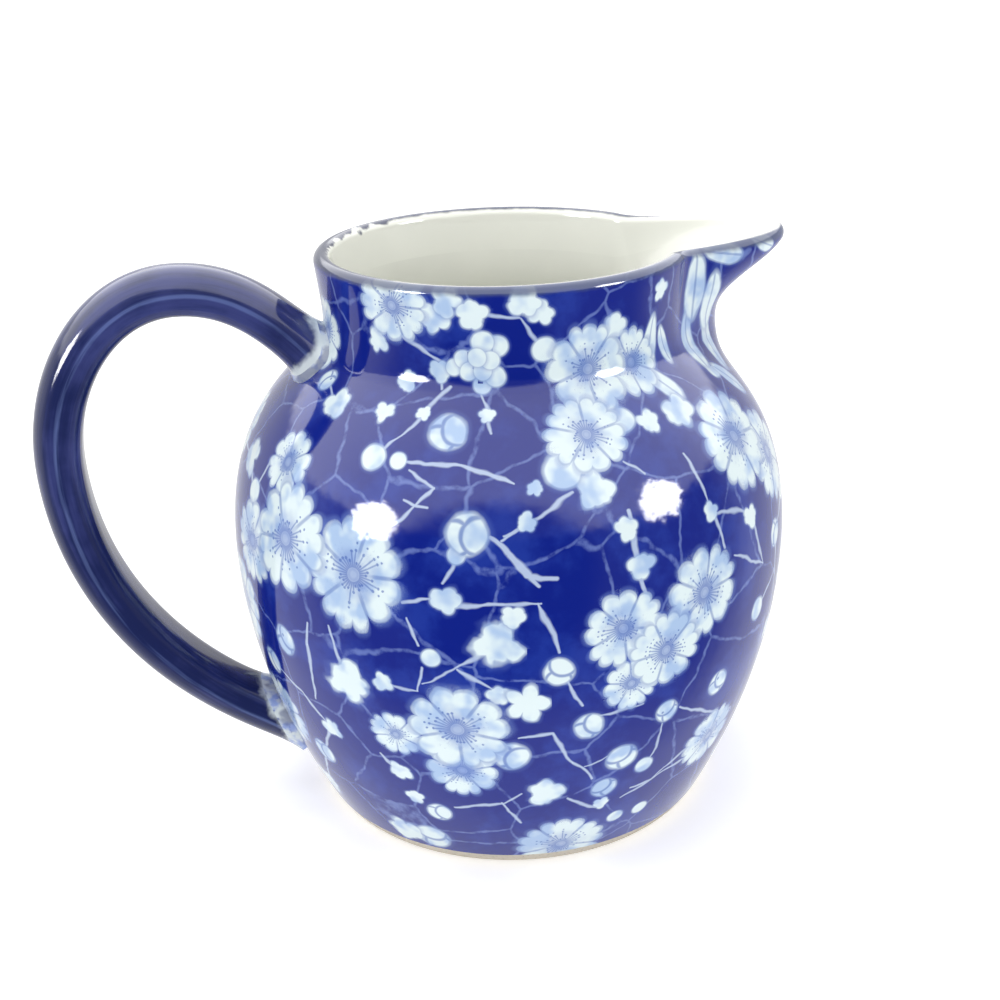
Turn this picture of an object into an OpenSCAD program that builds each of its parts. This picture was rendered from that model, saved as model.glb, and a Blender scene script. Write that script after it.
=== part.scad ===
// Porcelain cream jug: a globular body on a low foot ring, a short neck with a drawn-out
// pouring lip, and a loop handle luted on opposite the lip.
// Frame: +Z up, +X towards the pouring lip, -X towards the handle.
// The origin is the centre of the circle on which the foot ring stands.

/* [Body] */
// Greatest radius of the belly
belly_r = 50; // [46:0.5:54]
// Height of the widest place of the belly
belly_z = 50; // [46:0.5:54]
// Outer radius of the foot
foot_r = 36.5; // [33:0.5:39]
// Height of the foot ring
foot_h = 2.5; // [2:0.1:3]
// Width of the foot ring where it stands
foot_w = 3; // [2:0.1:4]
// Thickness of the porcelain wall
wall = 3; // [2.5:0.1:3.5]
// Thickness of the floor
floor_t = 4; // [3:0.1:5]

/* [Neck] */
// Outer radius of the neck where it leaves the shoulder
neck_r = 31.2; // [29:0.1:33]
// Height of the crease between the shoulder and the neck
neck_z = 86.8; // [85:0.1:89]
// Height of the rim
rim_z = 102; // [100:0.5:106]
// How far the rim flares out beyond the neck
rim_flare = 1.1; // [0.5:0.1:2]

/* [Pouring lip] */
// Reach of the lip's tip from the jug's axis
lip_reach = 51.1; // [49.5:0.1:54]
// Half of the angle that the lip takes up of the neck
lip_half_angle = 34; // [28:1:38]
// How blunt the tip is, from sharp to round
lip_bluntness = 0.12; // [0.08:0.01:0.2]
// How far the lip's edge sinks on each side, between the rim and the tip
lip_dip = 0.7; // [0:0.1:2]
// How far the tip of the lip droops below the rim
tip_droop = 0.6; // [0:0.1:2]

/* [Handle] */
// Radial thickness of the handle
handle_t = 8.2; // [7:0.1:9]
// Width of the handle, seen from the back
handle_w = 11.5; // [10:0.1:13]
// Reach of the handle's centre line from the jug's axis
handle_reach = 77.3; // [74:0.1:80]
// Height of the top of the handle's centre line
handle_top = 97.8; // [96:0.1:100]
// Thickness added to each end of the handle by the luting slip
slip_t = 1.1; // [0.6:0.1:1.5]

/* [Colours] */
// Ground of the printed body
body_colour = "#2A3590"; // ["#2A3590", "#1D2877"]
// Glaze without print
glaze_colour = "#E4E8E0"; // ["#E4E8E0", "#F4F4F0"]
// Bare porcelain under the foot
bare_colour = "#D9D3C4"; // ["#D9D3C4", "#C9BEA8"]
// Wash on the handle
handle_colour = "#2C3478"; // ["#2C3478", "#39427F"]

/* [Hidden] */
$fn = 96;

// The shoulder is split here: below is the plain belly, above it the lip begins to swell.
split_z = 74;
belly_steps = 24;
shoulder_steps = 8;
neck_steps = 10;
rim_steps = 8;
spout_steps = 36;
loop_steps = 22;
section_steps = 24;

// ---- Curves ----

// Point at u from 0 to 1 on the cubic curve with control points p.
function bezier(p, u) =
    pow(1 - u, 3) * p[0]
    + 3 * pow(1 - u, 2) * u * p[1]
    + 3 * (1 - u) * u * u * p[2]
    + pow(u, 3) * p[3];

// Points along that curve, from u = a to u = b.
function run(p, steps, a = 0, b = 1) =
    [for (i = [0:steps]) bezier(p, a + (b - a) * i / steps)];

// A list without its last point, for joining curves that share it.
function but_last(points) = [for (i = [0:len(points) - 2]) points[i]];

// Where on a curve that climbs all the way it reaches height z, by halving.
function u_at(p, z, low = 0, high = 1, n = 24) =
    n == 0
    ? (low + high) / 2
    : let (mid = (low + high) / 2)
      bezier(p, mid)[1] < z ? u_at(p, z, mid, high, n - 1) : u_at(p, z, low, mid, n - 1);

// A unit vector along v.
function unit(v) = v / norm(v);

// Each point of an outline moved to its left by distance d.
function shifted(points, d) =
    [for (i = [0:len(points) - 1])
        let (
            before = points[max(i - 1, 0)],
            after = points[min(i + 1, len(points) - 1)],
            along = unit(after - before)
        )
        points[i] + d * [-along[1], along[0]]];

function reversed(points) = [for (i = [len(points) - 1:-1:0]) points[i]];

// ---- Outer surface of the body, as radius and height ----

lower_belly = [
    [foot_r, 0],
    [foot_r + 5.9, 11.2],
    [belly_r, belly_z - 19.5],
    [belly_r, belly_z]
];
upper_belly = [
    [belly_r, belly_z],
    [belly_r, belly_z + 21.5],
    [neck_r + 10, neck_z - 8.2],
    [neck_r, neck_z]
];
// The shoulder turns up into the neck with a small soft crease.
crease_u = 0.94;
crease = bezier(upper_belly, crease_u);
neck_curve = [
    crease,
    [neck_r - 0.5, neck_z + 0.9],
    [neck_r + 0.2, neck_z + 6],
    [neck_r + rim_flare, rim_z - wall / 2]
];

foot_u = u_at(lower_belly, foot_h);
split_u = u_at(upper_belly, split_z);

// The cut through the wall at the split, square to the shoulder's slope.
split_outer = bezier(upper_belly, split_u);
split_along = unit(bezier(upper_belly, split_u + 0.01) - bezier(upper_belly, split_u - 0.01));
split_inner = split_outer + wall * [-split_along[1], split_along[0]];

belly_outline = concat(
    but_last(run(lower_belly, belly_steps, foot_u, 1)),
    run(upper_belly, belly_steps, 0, split_u)
);
shoulder_outline = run(upper_belly, shoulder_steps, split_u, crease_u);
collar_outline = concat(but_last(shoulder_outline), run(neck_curve, neck_steps));

// ---- The lip's own outline, straight ahead over its keel ----

// The keel's throat is the narrowest place under the lip.
keel_z = neck_z - 2.3;
keel_r = split_outer[0] - 5;
keel_outline = concat(
    but_last(run(
        [
            split_outer,
            split_outer + 5 * split_along,
            [keel_r + 0.3, keel_z - 4.9],
            [keel_r, keel_z]
        ],
        shoulder_steps
    )),
    run(
        [
            [keel_r, keel_z],
            [keel_r - 1.6, keel_z + 10.8],
            [lip_reach - 3.2, rim_z - 6.8],
            [lip_reach, rim_z - wall / 2 - tip_droop]
        ],
        neck_steps
    )
);

// A wall of that thickness inside an outline that starts at the split,
// closed at the top by a half-round rim.
function wall_section(outline, thickness) =
    let (
        offset_line = shifted(outline, thickness),
        inner = concat([split_inner], [for (i = [1:len(outline) - 1]) offset_line[i]]),
        last = len(outline) - 1,
        middle = (outline[last] + inner[last]) / 2,
        arm = (outline[last] - inner[last]) / 2,
        up = [-arm[1], arm[0]] * (wall / thickness)
    )
    concat(
        outline,
        [for (i = [1:rim_steps - 1])
            middle + arm * cos(180 * i / rim_steps) + up * sin(180 * i / rim_steps)],
        reversed(inner)
    );

// ---- Sub-parts ----

// The foot ring's inner face leans outwards, and the body's underside ends against it.
recess_z = 1.5;
ring_top = [belly_outline[0][0] - foot_w - 1, foot_h];
ring_low = [foot_r - foot_w - 0.9, 0.4];
recess_corner = ring_low + (ring_top - ring_low) * (recess_z - ring_low[1]) / (foot_h - ring_low[1]);

module body() {
    inner = concat(but_last(shifted(belly_outline, wall)), [split_inner]);
    floor_z = recess_z + floor_t;
    wall_foot = [for (p = inner) if (p[1] > floor_z + 5) p];
    bowl = run(
        [
            [0, floor_z],
            [wall_foot[0][0] * 0.55, floor_z],
            wall_foot[0] + [-3.2, -4.4],
            wall_foot[0]
        ],
        10
    );
    color(body_colour)
    rotate_extrude()
    polygon(concat(
        [[0, recess_z], recess_corner, ring_top],
        belly_outline,
        reversed(wall_foot),
        reversed(but_last(bowl))
    ));
}

module foot_ring() {
    color(bare_colour)
    rotate_extrude()
    polygon([
        [ring_low[0] + 0.4, 0],
        [foot_r - 0.9, 0],
        [foot_r - 0.25, 0.3],
        [foot_r + 0.15, 0.9],
        belly_outline[0],
        ring_top,
        ring_low
    ]);
}

module collar() {
    color(body_colour)
    rotate(lip_half_angle)
    rotate_extrude(angle = 360 - 2 * lip_half_angle)
    polygon(wall_section(collar_outline, wall));
}

// How far the lip stands out at an angle from straight ahead: 1 over the keel, 0 at its sides.
function swell(angle) =
    let (
        e = lip_bluntness,
        q = abs(angle) / lip_half_angle,
        soft = (sqrt(q * q + e * e) - e) / (sqrt(1 + e * e) - e)
    )
    pow(1 - soft, 2) * (1 + soft);

// The outer outline of the lip at an angle. Its edge sinks between the rim and the tip.
function lip_outline(angle) =
    let (
        s = swell(angle),
        dip = lip_dip * sqrt(4 * s * (1 - s)),
        height = rim_z - split_z
    )
    [for (i = [0:len(collar_outline) - 1])
        let (p = collar_outline[i] * (1 - s) + keel_outline[i] * s)
        p - [0, dip * pow((p[1] - split_z) / height, 2)]];

// A wall cut along the radius looks thicker where the surface runs aslant to it.
function slant(angle) =
    let (
        d = 0.5,
        top = len(collar_outline) - 1,
        here = lip_outline(angle)[top][0],
        slope = (lip_outline(angle + d)[top][0] - lip_outline(angle - d)[top][0]) / (2 * d * PI / 180)
    )
    abs(angle) > lip_half_angle - 1 ? 1 : sqrt(1 + pow(0.8 * slope / here, 2));

// Closer together near the tip, where the surface turns fastest.
function spout_angle(i) =
    let (q = 2 * i / spout_steps - 1)
    lip_half_angle * sign(q) * pow(abs(q), 1.35);

// Fills a flat end with strips between the points that face each other across it.
function end_faces(count) =
    [for (i = [0:floor((count - 1) / 2) - 1])
        let (k = count - 1 - i)
        each i + 1 == k - 1
            ? [[i, i + 1, k]]
            : [[i, i + 1, k - 1], [i, k - 1, k]]];

// Joins rings of points, each with the same count, into a closed solid with flat ends.
module skin(rings) {
    count = len(rings[0]);
    rows = len(rings);
    sides = [for (j = [0:rows - 2], i = [0:count - 1])
        let (k = (i + 1) % count)
        each [
            [j * count + i, j * count + k, (j + 1) * count + k],
            [j * count + i, (j + 1) * count + k, (j + 1) * count + i]
        ]];
    ends = end_faces(count);
    first = [for (face = ends) reversed(face)];
    last = [for (face = ends) [for (k = face) (rows - 1) * count + k]];
    polyhedron([for (ring = rings) each ring], concat(first, sides, last), convexity = 10);
}

module spout() {
    color(body_colour)
    skin([for (i = [0:spout_steps])
        let (angle = spout_angle(i))
        [for (p = wall_section(lip_outline(angle), wall * slant(angle)))
            [p[0] * cos(angle), p[0] * sin(angle), p[1]]]]);
}

// ---- Handle ----

// The centre line: up and out from the neck's base, over the top, down, and in to the lower belly.
loop = concat(
    but_last(run([[-30, 80], [-38.5, 90.5], [-45, handle_top], [-56, handle_top]], loop_steps)),
    but_last(run(
        [
            [-56, handle_top],
            [-68.5, handle_top],
            [-handle_reach, 84],
            [-handle_reach, 69.5]
        ],
        loop_steps
    )),
    run([[-handle_reach, 69.5], [-handle_reach, 53.5], [-70.5, 29.5], [-40, 13.5]], loop_steps)
);
// The luting slip covers this many steps of the centre line at each end.
upper_slip_steps = 7;
lower_slip_steps = 3;

// Direction of the centre line at step i.
function heading(i) = unit(loop[min(i + 1, len(loop) - 1)] - loop[max(i - 1, 0)]);

// A power of a sine or cosine that keeps its sign, which squares up an ellipse.
function squared_up(v, p) = sign(v) * pow(abs(v), 2 / p);

// The handle's section: rounded on the outside of the loop, flatter on the inside.
// Each point is how far it lies outwards and how far to the side, for an added thickness.
function handle_section(added) =
    [for (k = [0:section_steps - 1])
        let (
            a = 360 * k / section_steps,
            p = cos(a) > 0 ? 2.2 : 3.4,
            depth = (cos(a) > 0 ? 0.56 : 0.44) * handle_t + added
        )
        [depth * squared_up(cos(a), p), (handle_w / 2 + added) * squared_up(sin(a), p)]];

// That section placed across the centre line at step i.
function handle_ring(i, added = 0) =
    let (
        along = heading(i),
        out = [along[1], -along[0]]
    )
    [for (p = handle_section(added))
        [loop[i][0] + out[0] * p[0], -p[1], loop[i][1] + out[1] * p[0]]];

module handle() {
    color(handle_colour)
    skin([for (i = [upper_slip_steps:len(loop) - 1 - lower_slip_steps]) handle_ring(i)]);
}

// Everything inside the jug's outer surface, hollow or not.
module envelope() {
    outline = concat(belly_outline, collar_outline);
    rotate_extrude()
    polygon(concat([[0, outline[0][1]]], outline, [[0, outline[len(outline) - 1][1]]]));
}

// The slip spreads from the handle's thickness to its own as it reaches the jug.
module joint(from, to) {
    color(glaze_colour)
    difference() {
        skin([for (i = [from:to])
            handle_ring(i, slip_t * pow((from == 0 ? to - i : i - from) / (to - from), 1.5))]);
        envelope();
    }
}

module upper_joint() {
    joint(0, upper_slip_steps);
}

module lower_joint() {
    joint(len(loop) - 1 - lower_slip_steps, len(loop) - 1);
}

body();
foot_ring();
collar();
spout();
handle();
upper_joint();
lower_joint();
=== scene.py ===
"""Porcelain cream jug: a globular printed body on a low foot, a pouring lip and a loop handle.

Frame: metres, +Z up, +X towards the lip, -X towards the handle. The origin is the centre of
the circle on which the foot ring stands. Lengths inside the shape functions are millimetres.
"""

import math

import bpy
import numpy as np
from bpy.props import FloatProperty, FloatVectorProperty, PointerProperty
from mathutils import Matrix, Vector


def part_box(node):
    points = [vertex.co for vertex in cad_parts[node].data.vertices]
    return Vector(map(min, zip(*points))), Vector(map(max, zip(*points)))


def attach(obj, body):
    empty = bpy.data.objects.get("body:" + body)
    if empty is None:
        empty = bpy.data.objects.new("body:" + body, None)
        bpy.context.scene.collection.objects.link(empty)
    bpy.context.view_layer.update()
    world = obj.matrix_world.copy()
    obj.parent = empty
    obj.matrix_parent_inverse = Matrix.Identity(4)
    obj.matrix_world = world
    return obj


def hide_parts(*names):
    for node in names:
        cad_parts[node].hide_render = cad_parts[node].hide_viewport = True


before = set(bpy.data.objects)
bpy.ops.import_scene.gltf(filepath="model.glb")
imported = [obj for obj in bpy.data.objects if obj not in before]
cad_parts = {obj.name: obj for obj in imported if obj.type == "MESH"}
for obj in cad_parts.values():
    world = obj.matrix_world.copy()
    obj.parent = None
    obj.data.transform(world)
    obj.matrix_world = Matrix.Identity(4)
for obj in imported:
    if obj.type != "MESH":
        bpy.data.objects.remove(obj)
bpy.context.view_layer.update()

bl_info = {
    "name": "Porcelain Cream Jug",
    "version": (1, 0, 0),
    "blender": (4, 5, 0),
    "location": "3D View > Sidebar > Cream Jug",
    "description": "Builds a blue printed cream jug and a plain stage round it",
    "category": "Object",
}

MM = 0.001
BODY_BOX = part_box("body")
COLLAR_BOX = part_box("collar")
SPOUT_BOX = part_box("spout")
HANDLE_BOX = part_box("handle")
FOOT_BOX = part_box("foot_ring")
# The rounded rim stands this far beyond the outline that it closes.
RIM_LEAN = 0.00031


# ---- Sizes and colours that a user would change ----


def length(name, description, default, low, high):
    return FloatProperty(
        name=name, description=description, default=default, min=low, max=high,
        subtype="DISTANCE", unit="LENGTH", precision=4,
    )


def angle(name, description, degrees):
    return FloatProperty(
        name=name, description=description, default=math.radians(degrees),
        subtype="ANGLE", unit="ROTATION",
    )


def amount(name, description, default, low, high):
    return FloatProperty(
        name=name, description=description, default=default, min=low, max=high,
        subtype="FACTOR" if high <= 1 else "NONE",
    )


def colour(name, description, default):
    return FloatVectorProperty(
        name=name, description=description, default=default, size=3, min=0, max=1,
        subtype="COLOR",
    )


class JugShape(bpy.types.PropertyGroup):
    belly_radius: length("Belly radius", "Greatest radius of the belly", BODY_BOX[1][0], 0.03, 0.08)
    split_height: length(
        "Shoulder height", "Height at which the lip starts to swell", BODY_BOX[1][2], 0.05, 0.09
    )
    rim_height: length(
        "Rim height", "Height of the rim", COLLAR_BOX[1][2] - RIM_LEAN, 0.08, 0.13
    )
    neck_radius: length("Neck radius", "Radius of the neck at the shoulder", 0.0312, 0.02, 0.05)
    crease_height: length(
        "Crease height", "Height of the crease between shoulder and neck", 0.0868, 0.07, 0.1
    )
    foot_radius: length("Foot radius", "Outer radius of the foot", 0.0365, 0.02, 0.05)
    foot_height: length("Foot height", "Height of the foot ring", FOOT_BOX[1][2], 0.001, 0.005)
    wall: length("Wall", "Thickness of the porcelain wall", 0.003, 0.002, 0.004)
    lip_reach: length(
        "Lip reach", "Reach of the lip's tip", SPOUT_BOX[1][0] - RIM_LEAN, 0.04, 0.06
    )
    lip_angle: angle("Lip angle", "Half of the angle that the lip takes up of the neck", 34)
    handle_reach: length(
        "Handle reach", "Reach of the back of the handle", -HANDLE_BOX[0][0], 0.06, 0.1
    )
    handle_width: length(
        "Handle width", "Width of the handle", HANDLE_BOX[1][1] * 2, 0.008, 0.016
    )
    handle_thickness: length("Handle thickness", "Radial thickness of the handle", 0.0082, 0.005, 0.01)


class JugColours(bpy.types.PropertyGroup):
    cobalt: colour("Cobalt", "Deep ground of the print", (0.004, 0.013, 0.20))
    cobalt_thin: colour("Thin cobalt", "Ground where the print is thin", (0.012, 0.032, 0.27))
    line: colour("Line", "Twigs and crackle lines", (0.20, 0.28, 0.60))
    petal: colour("Petal", "Blossom petals", (0.66, 0.76, 0.78))
    petal_shade: colour("Petal shade", "Thin wash on the petals", (0.36, 0.49, 0.70))
    petal_line: colour("Petal line", "Drawn lines of the blossoms", (0.055, 0.12, 0.40))
    # Partly painted reflection: a thin wash over the rim's edge, lightened by the white surroundings
    # that the glaze reflects.
    rim_wash_and_reflection: colour("Rim line", "Thin wash over the edge of the rim", (0.06, 0.08, 0.165))
    handle_wash: colour("Handle wash", "Cobalt wash brushed on the handle", (0.011, 0.017, 0.078))
    # Partly painted sheen: the lighter wash, also laid over the handle's upper part to stand for the
    # sheen it shows there.
    handle_thin_and_sheen: colour("Thin handle wash", "The same wash where it is thin", (0.040, 0.050, 0.175))
    slip: colour("Slip", "Glazed luting slip at the handle's ends", (0.60, 0.66, 0.68))
    inside: colour("Inside", "Glaze inside the jug", (0.91, 0.92, 0.85))
    bare: colour("Bare porcelain", "Unglazed edge of the foot", (0.55, 0.50, 0.42))


class StageSettings(bpy.types.PropertyGroup):
    floor: colour("Floor", "Colour of the floor and the surroundings", (0.92, 0.92, 0.92))
    daylight: amount("Daylight", "Strength of the soft light all round", 1.0, 0, 5)
    windows: amount("Windows", "Strength of the two windows", 1.0, 0, 5)
    azimuth: angle("Azimuth", "Where the camera stands round the jug", -12)
    elevation: angle("Elevation", "How far the camera looks down", 22.84)
    distance: length("Distance", "From the camera to the jug", 0.26, 0.1, 2)
    lens: amount("Lens", "Focal length in millimetres", 50.55, 20, 200)


# ---- Curves, as radius and height in millimetres ----


def bezier(points, u):
    p = np.asarray(points, float)
    u = np.asarray(u, float)[..., None]
    v = 1 - u
    return v**3 * p[0] + 3 * v * v * u * p[1] + 3 * v * u * u * p[2] + u**3 * p[3]


def run(points, steps, a=0.0, b=1.0):
    return bezier(points, np.linspace(a, b, steps + 1))


def u_at(points, height):
    """Where on a climbing curve it reaches that height."""
    low, high = 0.0, 1.0
    for _ in range(40):
        middle = (low + high) / 2
        if bezier(points, middle)[1] < height:
            low = middle
        else:
            high = middle
    return (low + high) / 2


def unit(v):
    return v / np.linalg.norm(v, axis=-1, keepdims=True)


def shifted(points, distance):
    """Each point of an outline moved to its left."""
    padded = np.vstack([points[:1], points, points[-1:]])
    along = unit(padded[2:] - padded[:-2])
    return points + distance * np.stack([-along[:, 1], along[:, 0]], 1)


# ---- The jug's surface as one grid of columns round the axis ----

LOWER_STEPS = 34
UPPER_STEPS = 26
SHOULDER_STEPS = 10
NECK_STEPS = 16
RIM_STEPS = 10
BOWL_STEPS = 8
SMUDGE_ROWS = 5
CREASE_U = 0.94
LIP_BLUNTNESS = 0.12
LIP_DIP = 0.7
TIP_DROOP = 0.6
RIM_FLARE = 1.1
# The glazed underside lies this high inside the foot ring, under a floor this thick.
RECESS = 1.5
FLOOR_THICKNESS = 4


def lip_swell(shape, degrees):
    """How far the lip stands out at an angle: 1 over its keel, 0 at its sides."""
    e = LIP_BLUNTNESS
    q = np.minimum(np.abs(degrees) / math.degrees(shape.lip_angle), 1)
    soft = (np.sqrt(q * q + e * e) - e) / (math.sqrt(1 + e * e) - e)
    return (1 - soft) ** 2 * (1 + soft)


def body_outlines(shape):
    """Outer outlines: the belly, the plain collar above it, and the lip straight over its keel."""
    r, wall = shape.belly_radius / MM, shape.wall / MM
    foot, neck = shape.foot_radius / MM, shape.neck_radius / MM
    crease_z, rim = shape.crease_height / MM, shape.rim_height / MM
    split = shape.split_height / MM
    lower = [[foot, 0], [foot + 5.9, 11.2], [r, r - 19.5], [r, r]]
    upper = [[r, r], [r, r + 21.5], [neck + 10, crease_z - 8.2], [neck, crease_z]]
    crease = bezier(upper, CREASE_U)
    neck_curve = [
        crease, [neck - 0.5, crease_z + 0.9], [neck + 0.2, crease_z + 6],
        [neck + RIM_FLARE, rim - wall / 2],
    ]
    split_u = u_at(upper, split)
    belly = np.vstack([
        run(lower, LOWER_STEPS, u_at(lower, shape.foot_height / MM), 1)[:-1],
        run(upper, UPPER_STEPS, 0, split_u),
    ])
    collar = np.vstack([
        run(upper, SHOULDER_STEPS, split_u, CREASE_U)[:-1], run(neck_curve, NECK_STEPS),
    ])
    start = collar[0]
    along = unit(bezier(upper, split_u + 0.01) - bezier(upper, split_u - 0.01))
    keel_r, keel_z = start[0] - 5, crease_z - 2.3
    reach = shape.lip_reach / MM
    keel = np.vstack([
        run([start, start + 5 * along, [keel_r + 0.3, keel_z - 4.9], [keel_r, keel_z]],
            SHOULDER_STEPS)[:-1],
        run([[keel_r, keel_z], [keel_r - 1.6, keel_z + 10.8], [reach - 3.2, rim - 6.8],
             [reach, rim - wall / 2 - TIP_DROOP]], NECK_STEPS),
    ])
    return belly, collar, keel


def column_angles(shape):
    """Angles of the grid's columns in degrees, closer together towards the lip's tip."""
    half = math.degrees(shape.lip_angle)
    q = np.linspace(-1, 1, 65)
    lip = half * np.sign(q) * np.abs(q) ** 1.35
    rest = np.linspace(half, 360 - half, 201)[1:-1]
    return np.concatenate([lip, rest])


def jug_grid(shape):
    """Points of the whole surface, columns by rows, and the rows at which each part starts."""
    wall = shape.wall / MM
    split_z, rim_z = shape.split_height / MM, shape.rim_height / MM
    belly, collar, keel = body_outlines(shape)
    degrees = column_angles(shape)
    swell = lip_swell(shape, degrees)

    def edge_radius(at):
        s = lip_swell(shape, at)
        return collar[-1, 0] * (1 - s) + keel[-1, 0] * s

    slope = (edge_radius(degrees + 0.5) - edge_radius(degrees - 0.5)) / math.radians(1)
    slant = np.sqrt(1 + (0.8 * slope / edge_radius(degrees)) ** 2)

    inner_belly = shifted(belly, wall)
    floor_z = RECESS + FLOOR_THICKNESS
    high = inner_belly[inner_belly[:, 1] > floor_z + 5]
    bowl = run(
        [[0, floor_z], [high[0, 0] * 0.55, floor_z], high[0] - [3.2, 4.4], high[0]], BOWL_STEPS
    )
    turn = np.pi * np.arange(1, RIM_STEPS) / RIM_STEPS
    columns = []
    for s, thick in zip(swell, slant * wall):
        edge = collar * (1 - s) + keel * s
        dip = LIP_DIP * math.sqrt(4 * s * (1 - s))
        edge[:, 1] -= dip * ((edge[:, 1] - split_z) / (rim_z - split_z)) ** 2
        inner = shifted(edge, thick)
        middle, arm = (edge[-1] + inner[-1]) / 2, (edge[-1] - inner[-1]) / 2
        up = np.array([-arm[1], arm[0]]) * wall / thick
        rim = middle + arm * np.cos(turn)[:, None] + up * np.sin(turn)[:, None]
        columns.append(np.vstack([
            belly[:-1], edge, rim, inner[:0:-1], high[::-1], bowl[-2::-1],
        ]))
    flat = np.array(columns)
    round_ = np.radians(degrees)[:, None]
    points = np.stack([
        flat[..., 0] * np.cos(round_), flat[..., 0] * np.sin(round_), flat[..., 1],
    ], -1)
    rows = {"belly": 0, "neck": len(belly) - 1}
    rows["rim"] = rows["neck"] + len(collar) - 1
    rows["inside"] = rows["rim"] + RIM_STEPS + SMUDGE_ROWS
    rows["end"] = points.shape[1] - 1
    return points, flat, rows


def grid_normals(points):
    """Smooth normals of a grid whose columns close into a ring, pointing outwards."""
    round_ = np.roll(points, -1, 0) - np.roll(points, 1, 0)
    padded = np.concatenate([points[:, :1], points, points[:, -1:]], 1)
    along = padded[:, 2:] - padded[:, :-2]
    normal = np.cross(round_, along)
    size = np.linalg.norm(normal, axis=-1, keepdims=True)
    normal = np.where(size > 1e-9, normal / np.maximum(size, 1e-9), [0, 0, 1])
    return normal


# ---- The print: sprigs of blossom, laid out on one half of the jug and repeated on the other ----

# Angle round the jug in degrees, height, radius and turn. Earlier ones lie over later ones.
BLOSSOMS = (
    (-150, 62, 9, 10), (-132, 60, 9, 40), (-155, 73, 5.5, 0), (-163, 58, 7, 30),
    (-113, 34.5, 8.5, 20), (-113, 25.5, 6, 50), (-126, 31.5, 4.5, 15),
    (-73, 45.5, 6.5, 5), (-64, 53.5, 7.5, 40), (-82, 51.5, 6.5, 25), (-80, 41, 5, 60),
    (-84, 80, 6.5, 50), (-78, 88, 7, 15), (-44, 74, 8.5, 30), (-31, 68, 8, 0),
    (-91, 5, 7.5, 20), (-54, 21, 6.5, 45), (-135, 98.5, 6, 35), (-63, 87.5, 5.5, 10),
    (-8, 72, 6, 35),
    (-172, 44, 8, 20), (-164, 24, 7, 50), (-22, 44, 8, 10), (-12, 20, 7, 35),
    (-172, 90, 6, 15),
)
# The same for buds, with their kind: 0 closed, 1 ragged, 2 round, 3 a star, 4 a long leaf.
BUDS = (
    (-132, 77, 2.3, 0, 2), (-126, 77, 1.5, 0, 2), (-110, 68, 3.5, 30, 0), (-112, 65, 1.6, 0, 2),
    (-114, 58, 2.2, 60, 1), (-102, 55.5, 1.9, 0, 1), (-105, 51, 3.7, 20, 1),
    (-117, 48, 1.7, 45, 2), (-135, 40, 3.9, 0, 1), (-127, 42, 1.8, 0, 1), (-152, 43, 2.8, 80, 0),
    (-103, 29, 3.2, 10, 0), (-100, 40, 3.1, 20, 3), (-105, 41.5, 1.8, 0, 1),
    (-94, 45.5, 2.6, 100, 0), (-88, 34, 2.7, 60, 0), (-71, 33, 2.3, 150, 0),
    (-57, 34, 2.5, 70, 0), (-80, 25.5, 3, 160, 0), (-83, 19, 2.4, 170, 0), (-74, 22, 1.8, 0, 2),
    (-96, 20, 2.9, 0, 1), (-83, 15, 1.4, 0, 1), (-78, 10, 1.6, 0, 2), (-71, 10, 1.6, 0, 2),
    (-120, 14, 2.3, 40, 0), (-127, 23, 1.9, 0, 1), (-125, 17, 1.7, 0, 1), (-132, 6, 3, 20, 1),
    (-124, 6, 3.4, 130, 0), (-91, 76, 3.2, 60, 2), (-85, 73, 2.9, 0, 1), (-97, 74, 1.2, 0, 1),
    (-74, 81, 2.4, 0, 2), (-57, 80, 3, 120, 1), (-69, 94, 2.3, 0, 1), (-67, 80, 2, 30, 1),
    (-91, 92, 2.1, 0, 2), (-80, 67, 1.8, 0, 1), (-78, 61, 2.2, 90, 1), (-116, 81, 3.3, 60, 0),
    (-111, 98, 2.4, 0, 1), (-99, 69.5, 1.4, 0, 1), (-110, 91, 1.7, 0, 2),
    (-106.4, 90.6, 1.7, 0, 2), (-108.5, 88.8, 1.6, 0, 2), (-112.5, 88.8, 1.6, 0, 2),
    (-108.3, 93.4, 2, 0, 2), (-104.3, 92.8, 1.9, 0, 2), (-105, 88, 1.8, 0, 2),
    (-108.6, 86.8, 1.6, 0, 2), (-114, 90.6, 1.7, 0, 2), (-116.8, 89.4, 1.5, 0, 2),
    (-121, 88.8, 1.7, 0, 1), (-26.5, 95.5, 6.5, 4, 4), (-29.5, 86, 5.5, -8, 4),
    (-25, 79.5, 5, 32, 4), (-20.5, 100.2, 4.5, 78, 4),
    (-11, 100.3, 3.4, 70, 4), (-19, 92, 6, 10, 4), (-18, 84, 5.5, -8, 4), (-54, 90, 4.5, -12, 4),
    (-56, 84, 5, 28, 4), (-47, 88.5, 3.5, 15, 4), (-118, 100, 2.4, 20, 1),
    (-96, 99.8, 2.6, 50, 1), (-150, 82, 2.6, 90, 1),
    (-134, 82.5, 1.8, 0, 1), (-131, 86.5, 1.6, 0, 1), (-107, 83, 1.3, 0, 1),
    (-123, 83, 1.2, 0, 1), (-142, 92, 2, 0, 1), (-160, 84, 2.2, 0, 0), (-165, 66, 2.2, 0, 2),
    (-160, 36, 2.5, 50, 0), (-172, 70, 3, 0, 1), (-150, 20, 2.6, 30, 0), (-36, 55, 2.6, 0, 0),
    (-26, 60, 2.2, 0, 1), (-10, 58, 3, 70, 0), (-34, 36, 2.2, 0, 1), (-45, 44, 2.3, 0, 2),
    (-40, 12, 2.7, 20, 0), (-8, 34, 2.2, 0, 1), (-158, 9, 3, 0, 1), (-176, 10, 2.6, 0, 0),
    (-50, 98, 1.8, 0, 1), (-92, 98, 2, 0, 1), (-122, 97, 2.4, 0, 1), (-30, 82, 2.2, 0, 2),
    (-60, 66, 1.6, 0, 1), (-48, 62, 2, 0, 1), (-143, 28, 2, 0, 1), (-20, 8, 2.4, 0, 1),
)
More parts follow.
